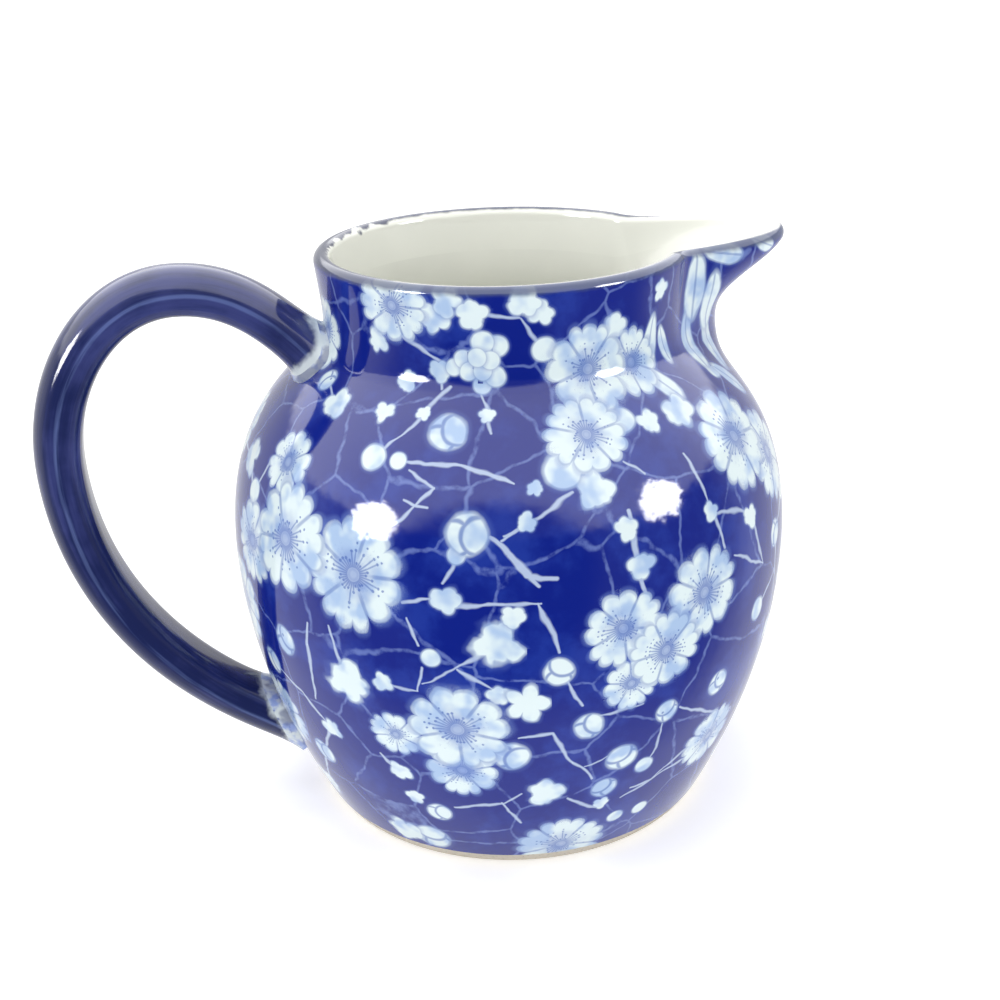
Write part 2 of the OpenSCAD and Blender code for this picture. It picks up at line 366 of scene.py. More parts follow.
# Angle and height of both ends of a twig, and half of its width.
TWIGS = (
    (-124, 77, -112, 77, 0.5), (-112, 77, -101, 75, 0.55), (-123, 76, -117, 74, 0.4),
    (-117, 74, -120, 71.5, 0.45), (-120, 71.5, -126, 67.5, 0.35), (-123, 72, -118, 71.5, 0.45),
    (-106, 67.5, -97, 60.5, 0.65), (-103, 67.5, -99, 69.5, 0.4), (-112, 64, -114, 60.5, 0.35),
    (-122, 57, -116, 58, 0.45), (-114, 57, -103.5, 57.5, 0.45), (-103.5, 57.5, -97, 57.5, 0.4),
    (-107, 50, -112, 46.5, 0.4), (-112, 46.5, -106, 42.5, 0.4), (-112, 46.5, -119, 43, 0.3),
    (-121, 54.5, -119, 50, 0.4), (-119, 46, -120, 41.5, 0.4), (-126, 41.5, -120, 41.5, 0.25),
    (-144, 49, -145.5, 33.5, 0.45), (-138, 50, -136.5, 43, 0.45), (-131, 26, -127, 23, 0.45),
    (-116, 16, -105, 18, 0.35), (-105, 18, -101, 20, 0.35), (-91, 18, -83.5, 14, 0.4),
    (-105, 18, -101, 12.5, 0.35), (-101.5, 33, -95, 33.5, 0.4), (-95, 33.5, -92, 28, 0.4),
    (-92, 28, -86, 22, 0.4), (-88, 25, -83.5, 26.5, 0.3), (-97.5, 57.5, -94, 49, 0.5),
    (-92.5, 43.5, -89.5, 38.5, 0.45), (-86, 36, -77, 36, 0.3), (-67.5, 33, -58, 28, 0.35),
    (-58, 28, -46, 24, 0.3), (-71.5, 30.5, -73, 23, 0.3), (-76, 17, -60, 19, 0.35),
    (-78, 15, -60, 22, 0.3), (-77.5, 80, -84.5, 76.5, 0.9), (-79.5, 69.5, -77.5, 55.5, 0.7),
    (-62, 75, -60, 67.5, 0.4), (-60, 67.5, -57.5, 59.5, 0.45), (-77.5, 76, -73.5, 74, 0.35),
    (-89.5, 73, -98, 69.5, 0.4), (-98, 69.5, -104, 67.5, 0.4), (-104, 66, -99.5, 62, 0.65),
    (-99.5, 62, -94, 61.5, 0.65), (-55, 57.5, -44, 52, 0.35), (-118, 86.5, -127, 80, 0.35),
    (-121, 90, -134, 94, 0.4), (-109.5, 85.5, -105.5, 81, 0.35), (-122, 90, -120, 86, 0.3),
    (-127, 80, -132, 77, 0.35), (-160, 84, -150, 82, 0.3), (-165, 66, -158, 76, 0.35),
    (-160, 36, -150, 33, 0.35), (-150, 33, -143, 28, 0.35), (-150, 20, -143, 28, 0.35),
    (-36, 55, -26, 60, 0.35), (-36, 55, -34, 36, 0.35), (-45, 44, -36, 48, 0.3),
    (-40, 12, -34, 36, 0.3), (-20, 8, -12, 14, 0.35), (-10, 58, -26, 60, 0.35),
    (-158, 9, -150, 20, 0.35), (-172, 70, -165, 66, 0.35), (-98, 97, -91, 92, 0.3),
    (-111, 98, -98, 97, 0.35), (-60, 66, -48, 62, 0.3), (-48, 62, -44, 52, 0.3),
    (5, 34, -10, 34, 0.35), (0, 58, -10, 58, 0.35), (-184, 70, -172, 70, 0.35),
)
BLOSSOM_SLOTS = ("petals_over", "petals_middle", "petals_under")
BUD_SLOTS = ("buds_over", "buds_middle", "buds_under")
TWIG_SLOTS = ("twigs_a", "twigs_b", "twigs_c")
FAR = (9.0, 9.0, 1.0)


def both_halves(layout):
    """The layout and its repeat on the other half of the jug."""
    return layout + tuple((m[0] + 180, *m[1:]) for m in layout)


class Surface:
    """The jug's outer surface, to look up where a sprig sits and which way it faces."""

    def __init__(self, points, normals, rows):
        self.angles = np.degrees(np.arctan2(points[:, 20, 1], points[:, 20, 0]))
        self.points = points[:, :rows["rim"] + 1]
        self.normals = normals[:, :rows["rim"] + 1]

    def at(self, degrees, height):
        turn = (self.angles - degrees + 180) % 360 - 180
        column = int(np.abs(turn).argmin())
        z = self.points[column, :, 2]
        row = int(np.abs(z - height).argmin())
        spin = math.radians(-turn[column])
        c, s = math.cos(spin), math.sin(spin)
        rotate = np.array([[c, -s, 0], [s, c, 0], [0, 0, 1]])
        point, normal = rotate @ self.points[column, row], rotate @ self.normals[column, row]
        east = unit(np.cross([0, 0, 1.0], normal))
        north = np.cross(normal, east)
        step = height - point[2]
        return point + north * step / max(north[2], 0.3), normal, east, north


def lay_sprigs(surface, corners):
    """For each corner of each face, where it lies on the sprigs that reach that face."""
    centre = corners.mean(1)
    facing = unit(np.cross(corners[:, 2] - corners[:, 0], corners[:, 3] - corners[:, 1]))

    def fill(count, placed):
        slots = np.tile(np.array(FAR), (count, *corners.shape[:2], 1))
        used = np.zeros(len(corners), int)
        for near, local in placed:
            pick = np.where(near & (used < count))[0]
            slots[used[pick], pick] = local(corners[pick])
            used[pick] += 1
        return slots

    def sprig(degrees, height, radius, turn, mark):
        point, normal, east, north = surface.at(degrees, height)
        c, s = math.cos(math.radians(turn)), math.sin(math.radians(turn))
        across, up = c * east + s * north, c * north - s * east

        def local(at):
            away = at - point
            return np.stack([
                away @ across / radius, away @ up / radius, np.full(away.shape[:-1], mark),
            ], -1)

        near = (np.linalg.norm(centre - point, axis=1) < 1.25 * radius + 0.7) & (facing @ normal > 0)
        return near, local

    def twig(angle_a, height_a, angle_b, height_b, half_width):
        a, b = surface.at(angle_a, height_a)[0], surface.at(angle_b, height_b)[0]
        normal = surface.at((angle_a + angle_b) / 2, (height_a + height_b) / 2)[1]
        middle, half = (a + b) / 2, np.linalg.norm(b - a) / 2
        along = unit(b - a)
        side = unit(np.cross(normal, along))

        def local(at):
            away = at - middle
            past = np.abs(away @ along) - half
            return np.stack([past, away @ side, np.full(past.shape, half_width)], -1)

        away = centre - middle
        near = (np.abs(away @ along) < half + 1.8) & (np.abs(away @ side) < 2.4)
        return near & (facing @ normal > 0.3), local

    blossoms = [
        sprig(*m, 0.37 * i % 1) for i, m in enumerate(both_halves(BLOSSOMS))
    ]
    buds = [
        sprig(*m[:4], m[4] + 0.1 + 0.8 * (0.29 * i % 1)) for i, m in enumerate(both_halves(BUDS))
    ]
    twigs = [twig(m[0], m[1], m[2] + turned, m[3], m[4])
             for turned, layout in ((0, TWIGS), (180, [(t[0] + 180, *t[1:]) for t in TWIGS]))
             for m in layout]
    laid = {}
    for names, placed in ((BLOSSOM_SLOTS, blossoms), (BUD_SLOTS, buds), (TWIG_SLOTS, twigs)):
        laid.update(zip(names, fill(len(names), placed)))
    return laid


# ---- Meshes ----


def finish_piece(name, vertices, faces, normals, material, nodes, slot, laid):
    """A smooth mesh object put in place of those CAD nodes, which it hides, with numbers laid on its
    surface.
    """
    mesh = bpy.data.meshes.new(name)
    mesh.from_pydata([tuple(v) for v in np.asarray(vertices) * MM], [], faces)
    mesh.polygons.foreach_set("use_smooth", [True] * len(mesh.polygons))
    mesh.update()
    mesh.normals_split_custom_set_from_vertices([tuple(n) for n in normals])
    for key, values in laid.items():
        domain = "POINT" if len(values) == len(mesh.vertices) and values.ndim == 2 else "CORNER"
        store = mesh.attributes.new(key, "FLOAT_VECTOR", domain)
        store.data.foreach_set("vector", values.astype(np.float32).ravel())
    mesh.materials.append(material)
    piece = bpy.data.objects.new(name, mesh)
    bpy.context.scene.collection.objects.link(piece)
    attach(piece, "root")
    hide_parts(*nodes)
    return piece


def grid_piece(
    name, points, normals, first, last, material, nodes, slot, flip=False, surface=None, **laid
):
    """The rows first to last of a ring-shaped grid as one piece, printed if it has a surface."""
    part = points[:, first:last + 1]
    columns, rows = part.shape[:2]
    faces = []
    for i in range(columns):
        k = (i + 1) % columns
        for j in range(rows - 1):
            a, b = i * rows + j, k * rows + j
            face = (a, b, b + 1, a + 1)
            faces.append(face[::-1] if flip else face)
    vertices = part.reshape(-1, 3)
    laid = {key: values[:, first:last + 1].reshape(-1, 3) for key, values in laid.items()}
    if surface:
        laid.update(lay_sprigs(surface, vertices[np.array(faces)]))
    return finish_piece(
        name, vertices, faces, normals[:, first:last + 1].reshape(-1, 3), material, nodes, slot,
        laid,
    )


# ---- Shader maths ----


class Wire:
    """An output socket of a material's nodes. Arithmetic on it adds Math nodes."""

    def __init__(self, socket):
        self.socket = socket

    @staticmethod
    def node(tree, kind, settings=None, sockets=None, output=0):
        """Any other node: its type, its settings, and the values or links of its sockets."""
        made = tree.nodes.new("ShaderNode" + kind)
        for key, value in (settings or {}).items():
            setattr(made, key, value)
        for key, value in (sockets or {}).items():
            if isinstance(value, Wire):
                tree.links.new(value.socket, made.inputs[key])
            else:
                made.inputs[key].default_value = value
        return Wire(made.outputs[output])

    def maths(self, operation, *others, swap=False):
        values = [self, *others]
        if swap:
            values.reverse()
        return Wire.node(
            self.socket.id_data, "Math", {"operation": operation}, dict(enumerate(values))
        )

    def __add__(self, other):
        return self.maths("ADD", other)

    __radd__ = __add__

    def __sub__(self, other):
        return self.maths("SUBTRACT", other)

    def __rsub__(self, other):
        return self.maths("SUBTRACT", other, swap=True)

    def __mul__(self, other):
        return self.maths("MULTIPLY", other)

    __rmul__ = __mul__

    def __truediv__(self, other):
        return self.maths("DIVIDE", other)

    def __pow__(self, other):
        return self.maths("POWER", other)

    def __neg__(self):
        return self.maths("MULTIPLY", -1.0)

    def __abs__(self):
        return self.maths("ABSOLUTE")

    def __lt__(self, other):
        return self.maths("LESS_THAN", other)

    def __gt__(self, other):
        return self.maths("GREATER_THAN", other)

    def least(self, other):
        return self.maths("MINIMUM", other)

    def most(self, other):
        return self.maths("MAXIMUM", other)

    def root(self):
        return self.maths("SQRT")

    def sine(self):
        return self.maths("SINE")

    def cosine(self):
        return self.maths("COSINE")

    def floor(self):
        return self.maths("FLOOR")

    def fraction(self):
        return self.maths("FRACT")

    def rise(self, low, high):
        """0 below low, 1 above high, smooth between. With low above high it falls."""
        if low > high:
            return 1 - self.rise(high, low)
        return Wire.node(
            self.socket.id_data, "MapRange", {"interpolation_type": "SMOOTHSTEP"},
            {"Value": self, "From Min": low, "From Max": high},
        )


class Finish:
    """A material under construction: the sources that its patterns are made from."""

    def __init__(self, name):
        self.material = bpy.data.materials.new(name)
        self.material.use_nodes = True
        self.tree = self.material.node_tree
        self.shader = self.tree.nodes["Principled BSDF"]

    def node(self, kind, settings=None, sockets=None, output=0):
        return Wire.node(self.tree, kind, settings, sockets, output)

    def place(self):
        """The point on the surface, in metres."""
        return self.node("TexCoord", output="Object")

    def parts(self, vector):
        """The three numbers of a vector."""
        split = self.node("SeparateXYZ", sockets={0: vector}).socket.node
        return tuple(Wire(s) for s in split.outputs)

    def laid(self, name):
        """Three numbers that the mesh carries under that name."""
        return self.parts(self.node("Attribute", {"attribute_name": name}, output="Vector"))

    def noise(self, scale, detail=2.0, roughness=0.5, at=None):
        """Soft noise from 0 to 1 with that many waves in a metre."""
        return self.node("TexNoise", sockets={
            "Vector": at or self.place(), "Scale": scale, "Detail": detail,
            "Roughness": roughness,
        })

    def blend(self, mask, below, above):
        """One colour over another."""
        def painted(value):
            return value if isinstance(value, Wire) else (*value, 1.0)
        return self.node(
            "Mix", {"data_type": "RGBA"}, {0: mask, 6: painted(below), 7: painted(above)}, 2
        )

    def stretch(self, x, y, z, by):
        """A place for noise, made of three numbers, each stretched by its own factor."""
        return self.node("CombineXYZ", sockets={0: x * by[0], 1: y * by[1], 2: z * by[2]})

    def set(self, **values):
        """Sets the shader's sockets; underscores in a name stand for spaces."""
        for key, value in values.items():
            socket = self.shader.inputs[key.replace("_", " ")]
            if isinstance(value, Wire):
                self.tree.links.new(value.socket, socket)
            elif hasattr(value, "__len__") and len(value) == 3:
                socket.default_value = (*value, 1.0)
            else:
                socket.default_value = value
        return self.material


RAGGED, STAR, LEAF = 1.0, 3.0, 4.0
PETALS = 5
STAMENS = 31


def blossom(look, u, v, seed, wobble):
    """Masks of a five-petalled blossom of radius 1: petals, its drawn edge, lines, washed heart."""
    r = (u * u + v * v).root() + wobble * 0.14
    turn = v.maths("ARCTAN2", u) / (2 * math.pi) + 0.5
    five = turn * PETALS
    petal = look.node(
        "TexWhiteNoise", {"noise_dimensions": "1D"}, {"W": five.floor() + seed * 50}
    )
    f = five.fraction() - 0.5
    lobe = (1 - (f * 2) ** 4).most(0.0).root()
    scallop = abs((((petal > 0.5) + 2) * (f + 0.5) * math.pi).sine()).root()
    reach = lobe * 0.13 + 0.68 + scallop * 0.17 + petal * 0.10
    inside = reach - r
    petals = inside.rise(-0.03, 0.04)
    rim = inside.rise(-0.15, -0.02)
    edge = abs(inside - 0.02).rise(0.09, 0.02)
    parting = (r * (0.5 - abs(f)) * (2 * math.pi / PETALS)).rise(0.055, 0.015) * r.rise(0.25, 0.5)
    spokes = turn * STAMENS + wobble * 0.5
    nth = look.node(
        "TexWhiteNoise", {"noise_dimensions": "1D"}, {"W": spokes.floor() + seed * 90}
    )
    beside = abs(spokes.fraction() - 0.5) * r * (2 * math.pi / STAMENS)
    length = nth * 0.34 + 0.20
    stamen = beside.rise(0.026, 0.004) * (r > 0.12) * r.maths("LESS_THAN", length)
    knob = ((r - length) ** 2 + beside * beside).rise(0.0014, 0.0003)
    dot = ((r - length * 0.5 - 0.36) ** 2 + beside * beside).rise(0.0009, 0.0002) * (nth > 0.6)
    eye = abs(r - 0.085).rise(0.045, 0.005)
    lines = (stamen * 0.8).most(knob).most(dot).most(eye * 0.25)
    lines = lines.most(parting * 0.7).most(edge * 0.6)
    heart = (r + wobble * 0.5).rise(0.62, 0.05)
    return petals, rim, lines, heart


def bud(u, v, mark, wobble):
    """Masks of a bud of radius 1: its shape, its soft border and the lines drawn on it."""
    kind, seed = mark.floor(), mark.fraction()
    ragged, star, leaf = (kind.maths("COMPARE", k, 0.1) for k in (RAGGED, STAR, LEAF))
    closed = kind < 0.5
    turn = v.maths("ARCTAN2", u)
    few, many = abs((turn * 1.5 + seed * 9).sine()), abs((turn * 2.5 + seed * 5).sine())
    bumps = (few * 0.6 + many * 0.5 - 0.6) * ragged + (many - 0.4) * star * 1.2
    wide = u * (leaf * (1.5 + v * 0.5) + 1)
    r = (wide * wide + v * v).root() + wobble * (ragged * 0.6 + star * 0.5 + 0.28) - bumps * 0.42
    shape = r.rise(1.08, 0.84)
    border = r.rise(1.30, 1.02)
    front = ((u - 0.45) ** 2 + (v + 0.35) ** 2).root() - 0.85 + wobble * 0.2
    behind = ((u + 0.65) ** 2 + (v - 0.15) ** 2).root() - 0.80 + wobble * 0.2
    arcs = abs(front).rise(0.16, 0.03).most(abs(behind).rise(0.16, 0.03) * (front > 0.0))
    dot = ((u - 0.3) ** 2 + (v - 0.2) ** 2).root().rise(0.15, 0.07) * (seed > 0.6)
    edge = abs(r - 0.98).rise(0.17, 0.04)
    midrib = abs(wide).rise(0.16, 0.04) * leaf
    lines = (arcs.most(dot) * closed).most(edge * 0.75).most(midrib * 0.7)
    return shape, border, lines


def printed_glaze(name, colours, with_rim):
    """Cobalt print under a clear glaze: crackle lines, twigs, buds and blossoms."""
    look = Finish(name)
    place = look.place()
    pool = look.noise(75, 3, 0.55)
    fine = look.noise(420, 3, 0.6)
    shade = look.blend(
        (pool + (fine - 0.5) * 0.25).rise(0.44, 0.66), colours.cobalt, colours.cobalt_thin
    )
    wobble = look.noise(300, 1.5, 0.5) - 0.5
    bend = look.noise(110, 1, 0.5) - 0.5
    warped = look.node("VectorMath", {"operation": "MULTIPLY_ADD"}, {
        0: look.node("TexNoise", sockets={"Vector": place, "Scale": 250.0}, output="Color"),
        1: (0.0018, 0.0018, 0.0018), 2: place,
    })
    cell = look.node("TexVoronoi", {"feature": "DISTANCE_TO_EDGE"}, {
        "Vector": warped, "Scale": 66.0, "Randomness": 1.0,
    }, output="Distance")
    crackle = cell.rise(0.024, 0.003) * fine.rise(0.25, 0.6)
    thick = look.noise(260, 2, 0.5)
    twigs = None
    for key in TWIG_SLOTS:
        past, side, half_width = look.laid(key)
        beyond = past.most(0.0)
        off = side + wobble * 1.1 + bend * 1.8
        tip = past.rise(-3.0, 0.4)
        width = (half_width * 0.30 + 0.12) * (1 - tip * 0.4) * (thick * 2.0)
        away = (beyond * beyond + off * off).root()
        drawn = (away / width).rise(2.1, 0.3) * (0.65 + half_width)
        twigs = drawn if twigs is None else twigs.most(drawn)
    shade = look.blend(crackle * 0.5, shade, colours.line)
    branch = tuple(0.5 * a + 0.5 * b for a, b in zip(colours.line, colours.petal))
    shade = look.blend(twigs.least(1.0) * 0.9, shade, branch)

    drawn_line = colours.petal_line
    border_blue = tuple(0.5 * a + 0.5 * b for a, b in zip(colours.line, colours.petal_line))
    wash = look.blend(
        (look.noise(210, 2) + bend * 0.4).rise(0.42, 0.66), colours.petal, colours.petal_shade
    )
    for key in reversed(BUD_SLOTS):
        shape, border, lines = bud(*look.laid(key), wobble)
        shade = look.blend(border * 0.2, shade, border_blue)
        shade = look.blend(shape, shade, wash)
        shade = look.blend(lines * shape * 0.7, shade, drawn_line)
    for key in reversed(BLOSSOM_SLOTS):
        petals, rim, lines, heart = blossom(look, *look.laid(key), wobble)
        shade = look.blend(rim * 0.35, shade, border_blue)
        shade = look.blend(petals, shade, wash)
        shade = look.blend(heart * petals * 0.62, shade, border_blue)
        shade = look.blend(lines * petals * 0.75, shade, drawn_line)

    if with_rim:
        past_rim, degrees, _ = look.laid("edge")
        smudge = look.noise(380, 2, 0.5)
        at_back = degrees.rise(0, 25) * degrees.rise(235, 195)
        # The band along the outside of the rim: a thin wash with a painted reflection, lighter at the
        # front and half as bright at the back.
        line = (past_rim + (smudge - 0.5) * 0.8).rise(-2.3, -1.2) * 0.9
        dark = tuple(0.5 * c for c in colours.rim_wash_and_reflection)
        shade = look.blend(line, shade, look.blend(at_back, colours.rim_wash_and_reflection, dark))
        back_left = degrees.rise(110, 135) * degrees.rise(185, 165)
        edge = 0.15 + at_back * 0.95 + (smudge - 0.48) * (back_left * 3.5 + 0.7)
        white = (past_rim - edge.most(0.2)).rise(-0.40, 0.40)
        shade = look.blend(white, shade, colours.inside)
    bump = look.node(
        "Bump", sockets={"Strength": 0.1, "Distance": 0.0004, "Height": look.noise(90, 2)},
        output="Normal",
    )
    return look.set(
        Base_Color=shade, Roughness=look.noise(400, 2) * 0.03 + 0.05, IOR=1.5, Normal=bump,
    )


def plain_glaze(name, tint):
    look = Finish(name)
    body = look.blend(look.noise(45, 3).rise(0.3, 0.8), tint, tuple(0.93 * c for c in tint))
    bump = look.node(
        "Bump", sockets={"Strength": 0.08, "Distance": 0.0004, "Height": look.noise(90, 2)},
        output="Normal",
    )
    return look.set(
        Base_Color=body, Roughness=look.noise(400, 2) * 0.03 + 0.06, IOR=1.5, Normal=bump,
    )


def bare_porcelain(name, tint):
    look = Finish(name)
    speck = look.noise(1800, 2).rise(0.55, 0.75)
    body = look.blend(speck, tint, tuple(0.6 * c for c in tint))
    bump = look.node(
        "Bump", sockets={"Strength": 0.4, "Distance": 0.0002, "Height": look.noise(1500, 3)},
        output="Normal",
    )
    return look.set(Base_Color=body, Roughness=0.75 + look.noise(900, 2) * 0.1, Normal=bump)


def handle_glaze(name, colours):
    """Cobalt brushed on lengthwise, lighter towards the top as a painted sheen, with a painted
    highlight along the ridge on each side.

    It fades over the slip at both ends.
    """
    look = Finish(name)
    along, turn, away = look.laid("lie")
    section = turn.cosine(), turn.sine()
    strokes = look.noise(1.0, 4, 0.6, look.stretch(along, *section, (0.025, 2.2, 2.2)))
    pool = look.noise(150, 3)
    # Painted sheen: the wash turns lighter along the upper part of the handle and a little darker down
    # the rest.
    top_sheen = along.rise(100, 30) * 0.12 - 0.05
    thin = (strokes * 0.7 + pool * 0.3 + top_sheen).rise(0.42, 0.66)
    body = look.blend(thin, colours.handle_wash, colours.handle_thin_and_sheen)
    # Painted highlight: a pale line in the print's line colour along the ridge on each side of the
    # handle.
    ridge = abs(turn.cosine() - 0.1 + (pool - 0.5) * 0.1).rise(0.10, 0.02)
    body = look.blend(ridge * strokes.rise(0.35, 0.55) * 0.3, body, colours.line)
    ragged = look.noise(350, 3, 0.6, look.stretch(along, *section, (0.001, 0.004, 0.004)))
    bare = (away + (ragged - 0.5) * 3.0).rise(3.2, 1.4)
    body = look.blend(bare, body, colours.slip)
    bump = look.node(
        "Bump", sockets={
            "Strength": 0.15, "Distance": 0.0004, "Height": strokes + look.noise(120, 2),
        }, output="Normal",
    )
    return look.set(
        Base_Color=body, Roughness=look.noise(400, 2) * 0.04 + 0.06, IOR=1.5, Normal=bump,
    )


def slip_glaze(name, colours):
    """Pale slip at a handle's end, with the cobalt of body and handle run a little into it."""
    look = Finish(name)
    pool = look.noise(380, 3, 0.6)
    body = look.blend(pool.rise(0.44, 0.66) * 0.85, colours.slip, colours.line)
    body = look.blend(look.noise(230, 2).rise(0.52, 0.64) * 0.6, body, colours.handle_thin_and_sheen)
    body = look.blend(look.noise(900, 2).rise(0.62, 0.75) * 0.6, body, colours.cobalt_thin)
    bump = look.node(
        "Bump", sockets={"Strength": 0.25, "Distance": 0.0004, "Height": look.noise(260, 2)},
        output="Normal",
    )
    return look.set(
        Base_Color=body, Roughness=look.noise(400, 2) * 0.03 + 0.07, IOR=1.5, Normal=bump,
    )


# ---- Handle ----

LOOP_STEPS = 44
SECTION_STEPS = 36
# How far the slip climbs the handle from the jug's surface at its two ends.
SLIP_TOP = 1.2
SLIP_BOTTOM = 2.2
# The slip's spread where it meets the jug, and how deep the handle's ends go into the wall.
SLIP_FLARE = 1.6
END_DEPTH = 0.8
# Shares of the thickness outside and inside the centre line, and how square each half is.
OUTER_SHARE, INNER_SHARE = 0.56, 0.44
OUTER_POWER, INNER_POWER = 2.2, 3.4


def handle_grid(shape):
    """Rings of the handle from the neck to the lower belly, columns round the section by rows."""
    thick, wide = shape.handle_thickness / MM, shape.handle_width / MM
    reach = shape.handle_reach / MM - OUTER_SHARE * thick
    top = HANDLE_BOX[1][2] / MM - OUTER_SHARE * thick
    loop = np.vstack([
        run([[-30, 80], [-38.5, 90.5], [-45, top], [-56, top]], LOOP_STEPS)[:-1],
        run([[-56, top], [-68.5, top], [-reach, 84], [-reach, 69.5]], LOOP_STEPS)[:-1],
        run([[-reach, 69.5], [-reach, 53.5], [-70.5, 29.5], [-40, 13.5]], LOOP_STEPS),
    ])
    padded = np.vstack([loop[:1], loop, loop[-1:]])
    along = unit(padded[2:] - padded[:-2])
    out = np.stack([along[:, 1], -along[:, 0]], 1)
    turn = 2 * np.pi * np.arange(SECTION_STEPS) / SECTION_STEPS
    c, s = np.cos(turn), np.sin(turn)
    power = np.where(c > 0, OUTER_POWER, INNER_POWER)
    share = np.where(c > 0, OUTER_SHARE, INNER_SHARE)
    depth = share * thick * np.sign(c) * np.abs(c) ** (2 / power)
    side = -wide / 2 * np.sign(s) * np.abs(s) ** (2 / power)
    x = loop[None, :, 0] + out[None, :, 0] * depth[:, None]
    z = loop[None, :, 1] + out[None, :, 1] * depth[:, None]
    y = np.repeat(side[:, None], len(loop), 1)
    points = np.stack([x, y, z], -1)
    centre = np.stack([loop[:, 0], np.zeros(len(loop)), loop[:, 1]], -1)
    return points, centre, turn


def away_from_body(points, outline):
    """Signed distance from the jug's outer surface and the outward direction there."""
    r = np.hypot(points[..., 0], points[..., 1])
    flat = np.stack([r, points[..., 2]], -1)
    a, b = outline[:-1], outline[1:]
    d = b - a
    t = ((flat[..., None, :] - a) * d).sum(-1) / (d * d).sum(-1)
    near = a + np.clip(t, 0, 1)[..., None] * d
    gap = flat[..., None, :] - near
    far = np.linalg.norm(gap, axis=-1)
    best = far.argmin(-1)
    pick = np.take_along_axis(gap, best[..., None, None], -2)[..., 0, :]
    normal = unit(np.stack([d[:, 1], -d[:, 0]], -1))[best]
    signed = (pick * normal).sum(-1)
    spread = np.where(r[..., None] > 1e-6, points[..., :2] / np.maximum(r[..., None], 1e-6), 0)
    outward = np.concatenate([spread * normal[..., :1], normal[..., 1:]], -1)
    return signed, outward


def reaches(away, level, direction):
    """The fractional row, going from the middle to one end, at which each column is that near."""
    middle = away.shape[1] // 2
    found = []
    for column in away:
        j = middle
        while column[j + direction] > level:
            j += direction
        share = (column[j] - level) / (column[j] - column[j + direction])
        found.append(j + direction * share)
    return np.array(found)


def between(grid, start, stop, steps):
    """The grid's columns laid out afresh between two fractional rows."""
    rows = start[:, None] + (stop - start)[:, None] * np.linspace(0, 1, steps + 1)
    low = np.clip(np.floor(rows).astype(int), 0, grid.shape[1] - 2)
    share = (rows - low)[..., None]
    column = np.arange(len(grid))[:, None]
    return grid[column, low] * (1 - share) + grid[column, low + 1] * share


# ---- Operators ----


def settings():
    scene = bpy.context.scene
    return scene.cream_jug_shape, scene.cream_jug_colours, scene.cream_jug_stage


class CREAMJUG_OT_body(bpy.types.Operator):
    """Builds the printed outside, the rim and lip, and the white inside"""

    bl_idname = "cream_jug.body"
    bl_label = "Body, lip and inside"

    def execute(self, context):
        shape, colours, _ = settings()
        points, _, rows = jug_grid(shape)
        normals = grid_normals(points)
        surface = Surface(points, normals, rows)
        white = plain_glaze("inside_glaze", colours.inside)
        steps = np.linalg.norm(np.diff(points, axis=1), axis=-1)
        past_rim = np.concatenate([0 * steps[:, :1], np.cumsum(steps, 1)], 1)
        past_rim -= past_rim[:, rows["rim"] + RIM_STEPS // 2][:, None]
        edge = np.stack([past_rim, np.repeat(column_angles(shape)[:, None], points.shape[1], 1),
                         points[..., 2]], -1)
        grid_piece("belly_outside", points, normals, rows["belly"], rows["neck"],
                   printed_glaze("belly_print", colours, False), ["body"], "printed_porcelain",
                   surface=surface)
        grid_piece("neck_outside", points, normals, rows["neck"], rows["inside"],
                   printed_glaze("neck_print", colours, True), ["collar", "spout"],
                   "printed_porcelain", surface=surface, edge=edge)
        grid_piece("inside", points, normals, rows["inside"], rows["end"], white,
                   ["body", "collar", "spout"], "printed_porcelain")
        return {"FINISHED"}


class CREAMJUG_OT_foot(bpy.types.Operator):
    """Builds the foot ring and the glazed underside"""

    bl_idname = "cream_jug.foot"
    bl_label = "Foot"

    def execute(self, context):
        shape, colours, _ = settings()
        _, flat, _ = jug_grid(shape)
        top = flat[0, 0]
        foot = shape.foot_radius / MM
        low = np.array([foot - 3.9, 0.4])
        inner_top = np.array([top[0] - 4, top[1]])
        corner = low + (inner_top - low) * (RECESS - low[1]) / (top[1] - low[1])
        outline = np.array([
            corner, low, [low[0] + 0.15, 0.15], [low[0] + 0.5, 0], [foot - 1.2, 0],
            [foot - 0.75, 0.05], [foot - 0.25, 0.3], [foot + 0.02, 0.6], [foot + 0.25, 1.05], top,
        ])
        turn = np.radians(column_angles(shape))[:, None]
        ring = np.stack([outline[:, 0] * np.cos(turn), outline[:, 0] * np.sin(turn),
                         outline[:, 1] + 0 * turn], -1)
        grid_piece("foot_ring_bare", ring, grid_normals(ring), 0, len(outline) - 1,
                   bare_porcelain("bare_porcelain", colours.bare), ["foot_ring"], "bare_porcelain")
        disc = np.array([
            [0, RECESS], [corner[0] * 0.5, RECESS], [corner[0] - 1, RECESS], corner,
        ])
        disc = np.stack([disc[:, 0] * np.cos(turn), disc[:, 0] * np.sin(turn),
                         disc[:, 1] + 0 * turn], -1)
        grid_piece("underside", disc, grid_normals(disc), 0, 3,
                   plain_glaze("underside_glaze", colours.inside), ["body"], "printed_porcelain")
        return {"FINISHED"}


